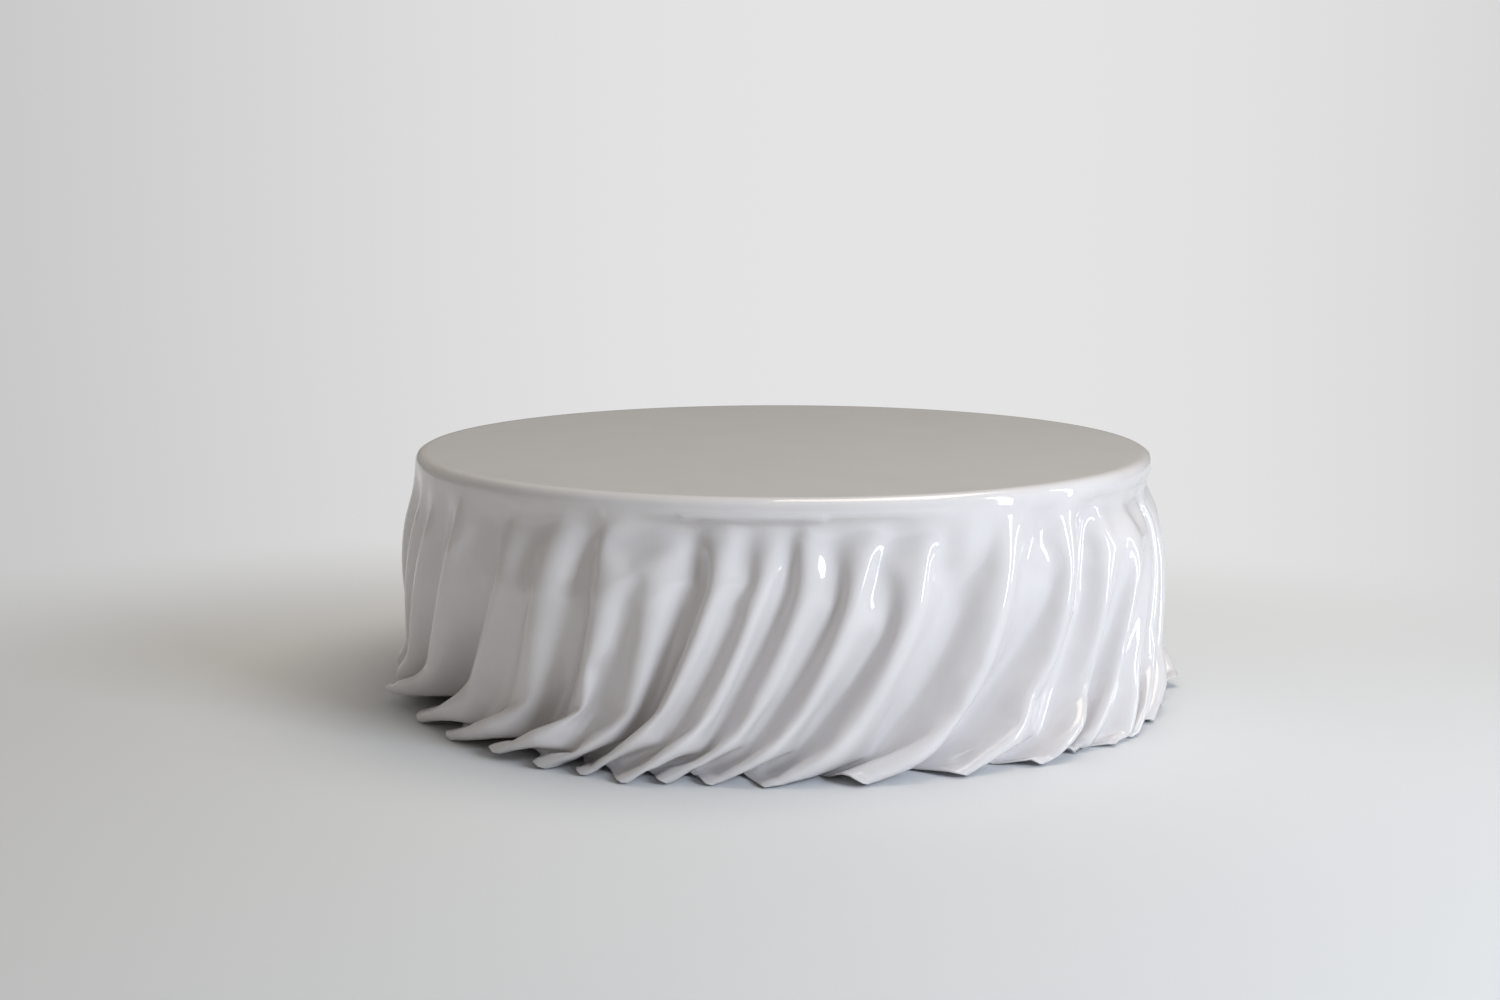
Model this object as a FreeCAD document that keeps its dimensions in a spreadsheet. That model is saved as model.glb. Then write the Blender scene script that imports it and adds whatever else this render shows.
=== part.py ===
"""Low round table under a floor-length round cloth.

The table is 1.2 m across and 0.4 m high: a plywood disc with a bullnosed solid-wood lipping, on four
tapered legs joined by aprons, a centre rail and corner blocks drawn up by hanger bolts. Z-shaped clips
hold the disc down, and a levelling foot screws out of each leg. The cloth is one round sheet that drapes
over the disc, hangs to the floor and ends in a stitched hem lying on the floor.

Frame: millimetres, +Z up, origin on the floor under the centre of the table.
"""

import FreeCAD, Part
import math
import os

import Sketcher

V = FreeCAD.Vector
SHEET = "Sizes"
CORNERS = {"front_left": 225, "front_right": 315, "back_left": 135, "back_right": 45}  # degrees about +Z
SIDES = {"right": 0, "back": 90, "left": 180, "front": 270}
CORNER_ANGLES = sorted(CORNERS.values())

doc = FreeCAD.newDocument("DrapedTable")
sizes = doc.addObject("Spreadsheet::Sheet", SHEET)

DRIVING_SIZES = [
    ("overallRadius", 600.0, "outside of the cloth at the table's rim"),
    ("overallHeight", 400.0, "top of the cloth above the floor"),
    ("clothThick", 2.0, "wall of the cloth, hem and pile of folds left out"),
    ("clothGap", 0.5, "air between the cloth and the table"),
    ("rimRound", 14.0, "outside radius of the cloth over the table's edge"),
    ("skirtRadius", 632.0, "outside of the skirt where it meets the floor"),
    ("hemRadius", 655.0, "outer edge of the hem on the floor"),
    ("hemThick", 4.0, "folded hem, lying flat"),
    ("threadThick", 0.8, "hem stitching, as one ring"),
    ("topThick", 25.0, "tabletop disc"),
    ("lippingWidth", 22.0, "solid-wood ring round the disc"),
    ("lippingEase", 3.0, "chamfer under the lipping"),
    ("legPitch", 620.0, "leg centre to leg centre, along X and along Y"),
    ("legWidth", 50.0, "square of the leg beside the aprons"),
    ("legFootWidth", 35.0, "square of the leg at its lower end"),
    ("legEase", 2.5, "chamfer along the leg's edges"),
    ("legClear", 20.0, "leg end above the floor, with the foot screwed out halfway"),
    ("apronDepth", 70.0, "height of the apron rails"),
    ("apronThick", 22.0, "thickness of the apron rails"),
    ("apronInset", 4.0, "apron face behind the leg's outer face"),
    ("apronEase", 2.0, "chamfer along the apron's lower edges"),
    ("clipGrooveDrop", 14.0, "underside of the disc down to the groove's lower wall"),
    ("clipGrooveTall", 3.0, "height of the groove for the clips"),
    ("clipGrooveDeep", 8.0, "depth of that groove"),
    ("centreDepth", 60.0, "height of the centre rail"),
    ("blockThick", 24.0, "corner block, through the bolt"),
    ("blockTall", 50.0, "corner block, height"),
    ("blockGap", 7.0, "space between corner block and leg"),
    ("boltRadius", 4.0, "M8 hanger bolt"),
    ("boltLength", 90.0, "hanger bolt, end to end"),
    ("boltInLeg", 36.0, "hanger bolt inside the leg"),
    ("screwRadius", 2.0, "wood screws"),
    ("clipWidth", 25.0, "tabletop clip, along the rail"),
    ("clipThick", 1.5, "tabletop clip, sheet"),
    ("clipReach", 30.0, "tabletop clip, out from the rail"),
    ("clipSpread", 170.0, "clip centre from the middle of its rail"),
    ("insertRadius", 6.0, "threaded insert, outside"),
    ("insertLength", 16.0, "threaded insert, inside the leg"),
    ("insertFlange", 10.0, "threaded insert, flange radius"),
    ("insertFlangeThick", 1.5, "threaded insert, flange"),
    ("stemRadius", 4.0, "M8 levelling stem"),
    ("stemClear", 0.09, "clearance of the stem in its insert, threads left out"),
    ("stemLength", 38.0, "levelling stem above its nut"),
    ("footRadius", 17.0, "levelling pad"),
    ("footTall", 7.0, "levelling pad"),
    ("footNutTall", 3.2, "hexagon under the insert"),
    ("footNutRadius", 8.0, "hexagon, across corners over two"),
]
SMALL_EASE = 0.8  # chamfer on the nylon pads
WASHER_THICK = 1.6
NUT_TALL = 6.5
BORE_EASE = 0.5  # how much wider than its bolt a clearance hole is
RAIL_SCREW_DROPS = (22, 44)  # below the underside of the disc


def fill_sheet():
    for row, (alias, value, note) in enumerate(DRIVING_SIZES, start=1):
        sizes.set(f"A{row}", note)
        sizes.set(f"B{row}", str(value))
        sizes.setAlias(f"B{row}", alias)
    doc.recompute()


def cell(alias):
    """A driving size as a number, for places that a bound property can't reach."""
    return float(sizes.get(alias))


def bind(thing, **properties):
    """Binds properties to formulas of the sheet's cells; 'clothThick * 2' and so on."""
    for name, formula in properties.items():
        thing.setExpression(name.replace("__", "."), with_sheet(formula))


def with_sheet(formula):
    """Puts the sheet's name before each alias of a formula, longest alias first."""
    marked = str(formula)
    aliases = sorted((alias for alias, _, _ in DRIVING_SIZES), key=len, reverse=True)
    for number, alias in enumerate(aliases):
        marked = marked.replace(alias, f"<{number}>")
    for number, alias in enumerate(aliases):
        marked = marked.replace(f"<{number}>", f"{SHEET}.{alias}")
    return marked


# Placing ---------------------------------------------------------------------------------------------


def place(thing, x="0", y="0", z="0", turn=0.0):
    """Stands a piece at a bound position, turned about +Z."""
    thing.Placement = FreeCAD.Placement(V(0, 0, 0), FreeCAD.Rotation(V(0, 0, 1), turn))
    bind(thing, Placement__Base__x=x, Placement__Base__y=y, Placement__Base__z=z)


def about_axis(angle, distance, sideways="0"):
    """Formulas for the x and y of a point at that distance along an angle, and sideways of it."""
    c, s = math.cos(math.radians(angle)), math.sin(math.radians(angle))
    return (
        f"({distance}) * ({c:.9f}) - ({sideways}) * ({s:.9f})",
        f"({distance}) * ({s:.9f}) + ({sideways}) * ({c:.9f})",
    )


# Sketches --------------------------------------------------------------------------------------------


def new_body(label):
    body = doc.addObject("PartDesign::Body", label)
    body.Label = label
    return body


def origin_plane(body, role):
    return next(f for f in body.Origin.OriginFeatures if f.Role == role)


def new_sketch(body, name, role="XY_Plane", lift=None):
    """An empty sketch on one of the body's own planes, lifted off it by a formula."""
    sketch = body.newObject("Sketcher::SketchObject", name)
    sketch.AttachmentSupport = [(origin_plane(body, role), "")]
    sketch.MapMode = "FlatFace"
    if lift is not None:
        bind(sketch, AttachmentOffset__Base__z=lift)
    return sketch


def add_bound(sketch, kind, *refs, name, formula, guess):
    """A named, driving constraint whose value comes from the sheet."""
    sketch.addConstraint(Sketcher.Constraint(kind, *refs, guess))
    sketch.renameConstraint(sketch.ConstraintCount - 1, name)
    sketch.setExpression(f"Constraints.{name}", with_sheet(formula))


def evaluate(formula):
    """The number that a formula of aliases has now."""
    return float(sizes.evalExpression(with_sheet(formula)))


def rectangle(sketch, width, depth):
    """A rectangle about the sketch's origin."""
    w, d = evaluate(width) / 2, evaluate(depth) / 2
    points = [V(-w, -d, 0), V(w, -d, 0), V(w, d, 0), V(-w, d, 0)]
    for i in range(4):
        sketch.addGeometry(Part.LineSegment(points[i], points[(i + 1) % 4]), False)
    for i in range(4):
        sketch.addConstraint(Sketcher.Constraint("Coincident", i, 2, (i + 1) % 4, 1))
        sketch.addConstraint(Sketcher.Constraint("Horizontal" if i % 2 == 0 else "Vertical", i))
    sketch.addConstraint(Sketcher.Constraint("Symmetric", 0, 1, 2, 1, -1, 1))
    add_bound(sketch, "DistanceX", 0, 1, 0, 2, name="width", formula=width, guess=2 * w)
    add_bound(sketch, "DistanceY", 1, 1, 1, 2, name="depth", formula=depth, guess=2 * d)


def circle(sketch, radius, name):
    index = sketch.addGeometry(Part.Circle(V(0, 0, 0), V(0, 0, 1), evaluate(radius)), False)
    sketch.addConstraint(Sketcher.Constraint("Coincident", index, 3, -1, 1))
    add_bound(sketch, "Radius", index, name=name, formula=radius, guess=evaluate(radius))


def outline(sketch, corners, arcs=None):
    """A closed outline through corners, each a pair of formulas. arcs maps the number of a side to the
    formula of its arc centre's x: that side is then a quarter round that bulges outward."""
    arcs = arcs or {}
    points = [V(evaluate(x), evaluate(y), 0) for x, y in corners]
    count = len(points)
    starts = {}
    for i in range(count):
        a, b = points[i], points[(i + 1) % count]
        if i in arcs:
            centre = V(evaluate(arcs[i]), min(a.y, b.y), 0)
            radius = a.distanceToPoint(centre)
            full_circle = Part.Circle(centre, V(0, 0, 1), radius)
            sketch.addGeometry(Part.ArcOfCircle(full_circle, 0, math.pi / 2), False)
            starts[i] = (1, 2) if a.y < b.y else (2, 1)
        else:
            sketch.addGeometry(Part.LineSegment(a, b), False)
            starts[i] = (1, 2)
    for i in range(count):
        after = (i + 1) % count
        sketch.addConstraint(Sketcher.Constraint("Coincident", i, starts[i][1], after, starts[after][0]))
    for i, (x, y) in enumerate(corners):
        end = starts[i][0]
        add_bound(sketch, "DistanceX", -1, 1, i, end, name=f"x{i}", formula=x, guess=points[i].x)
        add_bound(sketch, "DistanceY", -1, 1, i, end, name=f"y{i}", formula=y, guess=points[i].y)
    for i, x in arcs.items():
        add_bound(sketch, "DistanceX", -1, 1, i, 3, name=f"c{i}", formula=x, guess=evaluate(x))


def pad(body, sketch, length, name="Pad", **more):
    feature = body.newObject("PartDesign::Pad", name)
    feature.Profile = sketch
    bind(feature, Length=length)
    for key, value in more.items():
        setattr(feature, key, value)
    doc.recompute()
    return feature


def pocket(body, sketch, length, name="Pocket", **more):
    before = body.Shape.Volume
    feature = body.newObject("PartDesign::Pocket", name)
    feature.Profile = sketch
    bind(feature, Length=length)
    for key, value in more.items():
        setattr(feature, key, value)
    doc.recompute()
    if not body.Shape.Volume < before - 1.0:
        raise SystemExit(f"{body.Label}: {name} cuts nothing")
    return feature


def revolve(body, sketch, name="Revolution"):
    """Turns a profile drawn on the XZ plane once round +Z."""
    feature = body.newObject("PartDesign::Revolution", name)
    feature.Profile = sketch
    feature.ReferenceAxis = (sketch, ["V_Axis"])
    feature.Angle = 360.0
    doc.recompute()
    return feature


def edges_where(shape, test):
    return [f"Edge{i}" for i, edge in enumerate(shape.Edges, start=1) if test(edge)]


def chamfer(body, base, test, size, name="Chamfer"):
    found = edges_where(base.Shape, test)
    if not found:
        raise SystemExit(f"{body.Label}: {name} found no edge")
    feature = body.newObject("PartDesign::Chamfer", name)
    feature.Base = (base, found)
    bind(feature, Size=size)
    doc.recompute()
    return feature


# Primitives ------------------------------------------------------------------------------------------


def cylinder(label, radius, height):
    rod = doc.addObject("Part::Cylinder", label)
    bind(rod, Radius=radius, Height=height)
    return rod


def lying_cylinder(label, radius, height, angle, start, z, sideways="0"):
    """A cylinder that runs level, outward along an angle about +Z, from start."""
    rod = cylinder(label, radius, height)
    tip = FreeCAD.Rotation(V(0, 0, 1), angle) * FreeCAD.Rotation(V(0, 1, 0), 90)
    rod.Placement = FreeCAD.Placement(V(0, 0, 0), tip)
    x, y = about_axis(angle, start, sideways)
    bind(rod, Placement__Base__x=x, Placement__Base__y=y, Placement__Base__z=z)
    return rod


def fused(label, *shapes):
    joined = doc.addObject("Part::MultiFuse", label)
    joined.Shapes = list(shapes)
    joined.Refine = True
    return joined


def cut(label, base, *tools):
    tool = tools[0] if len(tools) == 1 else fused(label + "_tools", *tools)
    left = doc.addObject("Part::Cut", label)
    left.Base, left.Tool = base, tool
    left.Label = label
    return left


def group(label, pieces):
    """Identical fasteners in one node, each a solid of its own."""
    gathered = doc.addObject("Part::Compound", label)
    gathered.Links = pieces
    gathered.Label = label
    return gathered


# Formulas that several pieces share ------------------------------------------------------------------

TABLE_RADIUS = "(overallRadius - clothThick - clothGap)"
TABLE_TOP = "(overallHeight - clothThick - clothGap)"
UNDER_TOP = f"({TABLE_TOP} - topThick)"
LEG_REACH = "(legPitch / 2)"  # leg centre from the middle, along X or Y
LEG_SQUARE_FOOT = f"({UNDER_TOP} - apronDepth - 14)"  # the leg is square above this, and tapers below
APRON_CENTRE = f"({LEG_REACH} + legWidth / 2 - apronInset - apronThick / 2)"
APRON_INNER = f"({APRON_CENTRE} - apronThick / 2)"
LEG_CORNER = f"(({LEG_REACH} - legWidth / 2) * sqrt(2))"  # the leg's inner edge, along the diagonal
BLOCK_OUTER = f"({LEG_CORNER} - blockGap)"
BLOCK_INNER = f"({BLOCK_OUTER} - blockThick)"
BOLT_LEVEL = f"({UNDER_TOP} - apronDepth / 2 + 4)"
GROOVE_FLOOR = f"({UNDER_TOP} - clipGrooveDrop)"


# Tabletop --------------------------------------------------------------------------------------------


def make_top_panel():
    body = new_body("top_panel")
    sketch = new_sketch(body, "PanelOutline", lift=UNDER_TOP)
    circle(sketch, f"{TABLE_RADIUS} - lippingWidth", "panelRadius")
    body.Tip = pad(body, sketch, "topThick")
    return body


def make_top_lipping():
    """Ring of solid wood round the panel: bullnosed above, eased below."""
    body = new_body("top_lipping")
    sketch = new_sketch(body, "LippingProfile", role="XZ_Plane")
    inner = f"{TABLE_RADIUS} - lippingWidth"
    nose = "(rimRound - clothThick - clothGap)"
    corners = [
        (inner, UNDER_TOP),
        (f"{TABLE_RADIUS} - lippingEase", UNDER_TOP),
        (TABLE_RADIUS, f"{UNDER_TOP} + lippingEase"),
        (TABLE_RADIUS, f"{TABLE_TOP} - {nose}"),
        (f"{TABLE_RADIUS} - {nose}", TABLE_TOP),
        (inner, TABLE_TOP),
    ]
    outline(sketch, corners, arcs={3: f"{TABLE_RADIUS} - {nose}"})
    body.Tip = revolve(body, sketch)
    return body


# Legs ------------------------------------------------------------------------------------------------


def make_leg(corner, angle):
    """Square beside the aprons, tapered on all four sides below them, drilled for bolt and insert."""
    body = new_body(f"leg_blank_{corner}")
    shank = body.newObject("PartDesign::AdditiveWedge", "LegShank")
    shank.AttachmentSupport = [(origin_plane(body, "XZ_Plane"), "")]
    shank.MapMode = "FlatFace"
    bind(shank, Ymin="legClear", Ymax=LEG_SQUARE_FOOT)
    bind(shank, Xmin="-legFootWidth / 2", Xmax="legFootWidth / 2")
    bind(shank, X2min="-legWidth / 2", X2max="legWidth / 2")
    bind(shank, Zmin="-legFootWidth / 2", Zmax="legFootWidth / 2")
    bind(shank, Z2min="-legWidth / 2", Z2max="legWidth / 2")
    doc.recompute()
    long_enough = evaluate(f"{LEG_SQUARE_FOOT} - legClear") - 5
    chamfer(body, shank, lambda e: e.BoundBox.ZLength > long_enough, "legEase", "LegEase")
    square = new_sketch(body, "LegSquare", lift=LEG_SQUARE_FOOT)
    rectangle(square, "legWidth", "legWidth")
    body.Tip = pad(body, square, f"{UNDER_TOP} - {LEG_SQUARE_FOOT}", "LegHead")
    x, y = about_axis(angle, f"{LEG_REACH} * sqrt(2)")
    place(body, x, y)

    bore = cylinder(f"insert_bore_{corner}", "insertRadius + 0.05", "insertLength")
    place(bore, x, y, "legClear")
    well = cylinder(f"stem_well_{corner}", "stemRadius + 1", "stemLength")
    place(well, x, y, "legClear")
    bolt_hole = lying_cylinder(
        f"bolt_hole_{corner}", "boltRadius + 0.05", "boltInLeg + 1", angle, f"{LEG_CORNER} - 1", BOLT_LEVEL
    )
    return cut(f"leg_{corner}", body, bore, well, bolt_hole)


def make_foot_inserts():
    """Threaded brass sleeve with a flange, one up the end of each leg."""
    made = []
    for corner, angle in CORNERS.items():
        x, y = about_axis(angle, f"{LEG_REACH} * sqrt(2)")
        sleeve = cylinder(f"insert_sleeve_{corner}", "insertRadius", "insertLength")
        place(sleeve, x, y, "legClear")
        flange = cylinder(f"insert_flange_{corner}", "insertFlange", "insertFlangeThick")
        place(flange, x, y, "legClear - insertFlangeThick")
        bore = cylinder(f"insert_thread_{corner}", "stemRadius + stemClear", "insertLength + 10")
        place(bore, x, y, "legClear - 5")
        made.append(cut(f"insert_{corner}", fused(f"insert_whole_{corner}", sleeve, flange), bore))
    return group("foot_inserts", made)


def make_foot(corner, angle):
    """Levelling foot: nylon pad, and a steel stem with its hexagon."""
    x, y = about_axis(angle, f"{LEG_REACH} * sqrt(2)")
    pad_body = new_body(f"foot_pad_{corner}")
    sketch = new_sketch(pad_body, "PadOutline")
    circle(sketch, "footRadius", "padRadius")
    disc = pad(pad_body, sketch, "footTall")
    eased = pad_body.newObject("PartDesign::Chamfer", "PadEase")
    eased.Base = (disc, edges_where(disc.Shape, lambda e: abs(e.BoundBox.ZLength) < 0.01))
    eased.Size = SMALL_EASE
    pad_body.Tip = eased
    place(pad_body, x, y)

    stem_body = new_body(f"foot_stem_{corner}")
    hexagon = new_sketch(stem_body, "Hexagon", lift="footTall")
    radius = evaluate("footNutRadius")
    points = [V(radius * math.cos(k * math.pi / 3), radius * math.sin(k * math.pi / 3), 0) for k in range(6)]
    for k in range(6):
        hexagon.addGeometry(Part.LineSegment(points[k], points[(k + 1) % 6]), False)
    for k in range(6):
        hexagon.addConstraint(Sketcher.Constraint("Coincident", k, 2, (k + 1) % 6, 1))
    across = hexagon.addGeometry(Part.Circle(V(0, 0, 0), V(0, 0, 1), radius), True)
    hexagon.addConstraint(Sketcher.Constraint("Coincident", across, 3, -1, 1))
    for k in range(6):
        hexagon.addConstraint(Sketcher.Constraint("PointOnObject", k, 1, across))
    for k in range(1, 6):
        hexagon.addConstraint(Sketcher.Constraint("Equal", 0, k))
    hexagon.addConstraint(Sketcher.Constraint("PointOnObject", 0, 1, -1))
    add_bound(hexagon, "Radius", across, name="corner", formula="footNutRadius", guess=radius)
    pad(stem_body, hexagon, "footNutTall", "FootNut")
    rod = new_sketch(stem_body, "Stem", lift="footTall + footNutTall")
    circle(rod, "stemRadius", "stemRadius")
    stem = pad(stem_body, rod, "stemLength", "FootStem")
    stem_body.Tip = chamfer(
        stem_body, stem,
        lambda e: abs(e.BoundBox.ZLength) < 0.01
        and e.BoundBox.ZMax > cell("footTall") + cell("footNutTall") + cell("stemLength") - 0.01,
        "stemRadius / 4", "StemEase",
    )
    place(stem_body, x, y)
    return [pad_body, stem_body]


# Rails -----------------------------------------------------------------------------------------------


def make_apron(side, angle):
    """Rail between two legs, with a groove near the top of its inner face for the clips."""
    body = new_body(f"apron_{side}")
    sketch = new_sketch(body, "ApronPlan", lift=f"{UNDER_TOP} - apronDepth")
    rectangle(sketch, "apronThick", "legPitch - legWidth")
    blank = pad(body, sketch, "apronDepth")
    low = evaluate(f"{UNDER_TOP} - apronDepth")
    chamfer(
        body, blank,
        lambda e: e.BoundBox.ZMax < low + 0.01 and e.BoundBox.YLength > 100,
        "apronEase", "ApronEase",
    )
    groove = new_sketch(body, "ClipGroove", lift=GROOVE_FLOOR)
    rectangle(groove, "2 * clipGrooveDeep", "legPitch - legWidth + 2")
    bind(groove, AttachmentOffset__Base__x="-apronThick / 2")
    body.Tip = pocket(body, groove, "clipGrooveTall", "ClipGroovePocket", Reversed=True)
    x, y = about_axis(angle, APRON_CENTRE)
    place(body, x, y, turn=angle)
    return body


def make_centre_rail():
    body = new_body("centre_rail")
    sketch = new_sketch(body, "RailPlan", lift=f"{UNDER_TOP} - centreDepth")
    rectangle(sketch, "apronThick", f"2 * {APRON_INNER}")
    blank = pad(body, sketch, "centreDepth")
    low = evaluate(f"{UNDER_TOP} - centreDepth")
    body.Tip = chamfer(
        body, blank,
        lambda e: e.BoundBox.ZMax < low + 0.01 and e.BoundBox.YLength > 100,
        "apronEase", "RailEase",
    )
    return body


def make_rail_screws():
    """Two screws through each of the front and back aprons into the centre rail's end."""
    made = []
    for side in ("front", "back"):
        for drop in RAIL_SCREW_DROPS:
            inward = SIDES[side] + 180
            shank = lying_cylinder(
                f"rail_shank_{side}_{drop}", "screwRadius", "apronThick + 36", inward,
                f"-({APRON_CENTRE} + apronThick / 2)", f"{UNDER_TOP} - {drop}",
            )
            head = lying_cylinder(
                f"rail_head_{side}_{drop}", "2 * screwRadius", "2", inward,
                f"-({APRON_CENTRE} + apronThick / 2)", f"{UNDER_TOP} - {drop}",
            )
            made.append(fused(f"rail_screw_{side}_{drop}", shank, head))
    return group("rail_screws", made)


# Corner blocks ---------------------------------------------------------------------------------------


def make_corner_block(corner, angle):
    """Trapezoid across the corner, its ends bearing on the two aprons, drilled for the hanger bolt."""
    body = new_body(f"block_blank_{corner}")
    sketch = new_sketch(body, "BlockPlan", lift=f"{UNDER_TOP} - blockTall - 2")
    end_line = f"({APRON_INNER} * sqrt(2))"
    corners = [
        (BLOCK_INNER, f"-({end_line} - {BLOCK_INNER})"),
        (BLOCK_OUTER, f"-({end_line} - {BLOCK_OUTER})"),
        (BLOCK_OUTER, f"{end_line} - {BLOCK_OUTER}"),
        (BLOCK_INNER, f"{end_line} - {BLOCK_INNER}"),
    ]
    outline(sketch, corners)
    body.Tip = pad(body, sketch, "blockTall")
    place(body, turn=angle)
    hole = lying_cylinder(
        f"block_hole_{corner}", f"boltRadius + {BORE_EASE}", "blockThick + 2", angle,
        f"{BLOCK_INNER} - 1", BOLT_LEVEL,
    )
    return cut(f"corner_block_{corner}", body, hole)


def make_hanger_bolts():
    made = [
        lying_cylinder(f"hanger_bolt_{angle}", "boltRadius", "boltLength", angle,
                       f"{LEG_CORNER} + boltInLeg - boltLength", BOLT_LEVEL)
        for angle in CORNER_ANGLES
    ]
    return group("hanger_bolts", made)


def make_hanger_washers():
    made = []
    for angle in CORNER_ANGLES:
        start = f"{BLOCK_INNER} - {WASHER_THICK}"
        disc = lying_cylinder(
            f"washer_disc_{angle}", "boltRadius * 2.2", f"{WASHER_THICK}", angle, start, BOLT_LEVEL
        )
        hole = lying_cylinder(
            f"washer_hole_{angle}", "boltRadius + 0.2", f"{WASHER_THICK} + 2", angle,
            f"{start} - 1", BOLT_LEVEL
        )
        made.append(cut(f"washer_{angle}", disc, hole))
    return group("hanger_washers", made)


def make_hanger_nuts():
    made = []
    for angle in CORNER_ANGLES:
        start = f"{BLOCK_INNER} - {WASHER_THICK} - {NUT_TALL}"
        nut = doc.addObject("Part::Prism", f"nut_blank_{angle}")
        nut.Polygon = 6
        bind(nut, Circumradius="boltRadius * 1.85", Height=f"{NUT_TALL}")
        tip = FreeCAD.Rotation(V(0, 0, 1), angle) * FreeCAD.Rotation(V(0, 1, 0), 90)
        nut.Placement = FreeCAD.Placement(V(0, 0, 0), tip)
        x, y = about_axis(angle, start)
        bind(nut, Placement__Base__x=x, Placement__Base__y=y, Placement__Base__z=BOLT_LEVEL)
        hole = lying_cylinder(
            f"nut_hole_{angle}", "boltRadius + 0.05", f"{NUT_TALL} + 2", angle, f"{start} - 1", BOLT_LEVEL
        )
        made.append(cut(f"nut_{angle}", nut, hole))
    return group("hanger_nuts", made)


def make_block_screws():
    """One screw through each end of a corner block, square into the apron."""
    made = []
    for side, angle in SIDES.items():
        for hand in (-1, 1):
            sideways = f"({hand}) * ({LEG_REACH} - legWidth / 2 - 47)"
            start = f"{APRON_INNER} - 20"
            shank = lying_cylinder(f"block_shank_{side}_{hand + 1}", "screwRadius", "36", angle, start,
                                   f"{BOLT_LEVEL} - 14", sideways)
            head = lying_cylinder(f"block_head_{side}_{hand + 1}", "2 * screwRadius", "2", angle, start,
                                  f"{BOLT_LEVEL} - 14", sideways)
            made.append(fused(f"block_screw_{side}_{hand + 1}", shank, head))
    return group("block_screws", made)


# Tabletop clips --------------------------------------------------------------------------------------


def clip_places():
    """(name, angle, sideways formula) of each clip, two to a rail."""
    return [
        (f"{side}_{hand + 1}", angle, f"({hand}) * clipSpread")
        for side, angle in SIDES.items()
        for hand in (-1, 1)
    ]


def make_top_clips():
    """Folded steel: a tongue in the rail's groove, a riser, and a flat screwed to the disc."""
    made = []
    for name, angle, sideways in clip_places():
        leaves = [
            # (inner end from the rail's face, length, foot, height)
            ("tongue", "-3.5 - clipThick", "clipGrooveDeep + 2 + clipThick",
             f"{GROOVE_FLOOR} + 0.6", "clipThick"),
            ("riser", "-3.5 - clipThick", "clipThick", f"{GROOVE_FLOOR} + 0.6", "clipGrooveDrop - 0.6"),
            ("flat", "-clipReach", "clipReach - 3.5", f"{UNDER_TOP} - clipThick", "clipThick"),
        ]
        parts = []
        for leaf, start, length, foot, height in leaves:
            box = doc.addObject("Part::Box", f"clip_{leaf}_{name}")
            bind(box, Length=length, Width="clipWidth", Height=height)
            box.Placement = FreeCAD.Placement(V(0, 0, 0), FreeCAD.Rotation(V(0, 0, 1), angle))
            x, y = about_axis(angle, f"{APRON_INNER} + {start}", f"{sideways} - clipWidth / 2")
            bind(box, Placement__Base__x=x, Placement__Base__y=y, Placement__Base__z=foot)
            parts.append(box)
        hole = cylinder(f"clip_hole_{name}", "screwRadius + 0.1", "clipThick + 2")
        x, y = about_axis(angle, f"{APRON_INNER} - clipReach + 10", sideways)
        place(hole, x, y, f"{UNDER_TOP} - clipThick - 1")
        made.append(cut(f"clip_{name}", fused(f"clip_whole_{name}", *parts), hole))
    return group("top_clips", made)


def make_clip_screws():
    made = []
    for name, angle, sideways in clip_places():
        x, y = about_axis(angle, f"{APRON_INNER} - clipReach + 10", sideways)
        head = cylinder(f"clip_screw_head_{name}", "2 * screwRadius", "2")
        place(head, x, y, f"{UNDER_TOP} - clipThick - 2")
        shank = cylinder(f"clip_screw_shank_{name}", "screwRadius", "clipThick + 18")
        place(shank, x, y, f"{UNDER_TOP} - clipThick")
        made.append(fused(f"clip_screw_{name}", head, shank))
    return group("clip_screws", made)


# Cloth -----------------------------------------------------------------------------------------------


def make_tablecloth():
    """The draped sheet as one bell-shaped wall of even thickness, ending in its folded hem."""
    body = new_body("tablecloth")
    sketch = new_sketch(body, "ClothProfile", role="XZ_Plane")
    outside = [
        ("0", "overallHeight"),
        ("overallRadius - rimRound", "overallHeight"),
        ("overallRadius", "overallHeight - rimRound"),
        ("skirtRadius - 3", "6 * hemThick"),
        ("skirtRadius + 4", "hemThick"),
        ("hemRadius", "hemThick"),
        ("hemRadius", "0"),
    ]
    inside = [
        ("skirtRadius + 2", "0"),
        ("skirtRadius - 3 - clothThick", "6 * hemThick"),
        ("overallRadius - clothThick", "overallHeight - rimRound"),
        ("overallRadius - rimRound", "overallHeight - clothThick"),
        ("0", "overallHeight - clothThick"),
    ]
    outer_round, inner_round = 1, len(outside) + 2
    centre = "overallRadius - rimRound"
    outline(sketch, outside + inside, arcs={outer_round: centre, inner_round: centre})
    body.Tip = revolve(body, sketch)
    return body


def make_hem_thread():
    """The stitching that holds the folded hem, as one thin ring on top of it."""
    ring = doc.addObject("Part::Torus", "hem_thread")
    bind(ring, Radius1="hemRadius - 10", Radius2="threadThick / 2")
    place(ring, z="hemThick + threadThick / 2 + 0.02")
    return ring


# Document --------------------------------------------------------------------------------------------


def check(nodes):
    """Stops before anything is written if an object failed or a piece has no sound shape."""
    doc.recompute()
    failed = [f"{o.Label}: {o.State}" for o in doc.Objects if {"Invalid", "Error"} & set(o.State)]
    if failed:
        raise SystemExit("failed objects: " + "; ".join(failed))
    for node in nodes:
        shape = node.Shape
        if shape.isNull() or not shape.isValid() or not shape.Solids:
            raise SystemExit(f"{node.Label} has no valid solid")
        if any(solid.Volume <= 0 for solid in shape.Solids):
            raise SystemExit(f"{node.Label} has a solid turned inside out")


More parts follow.
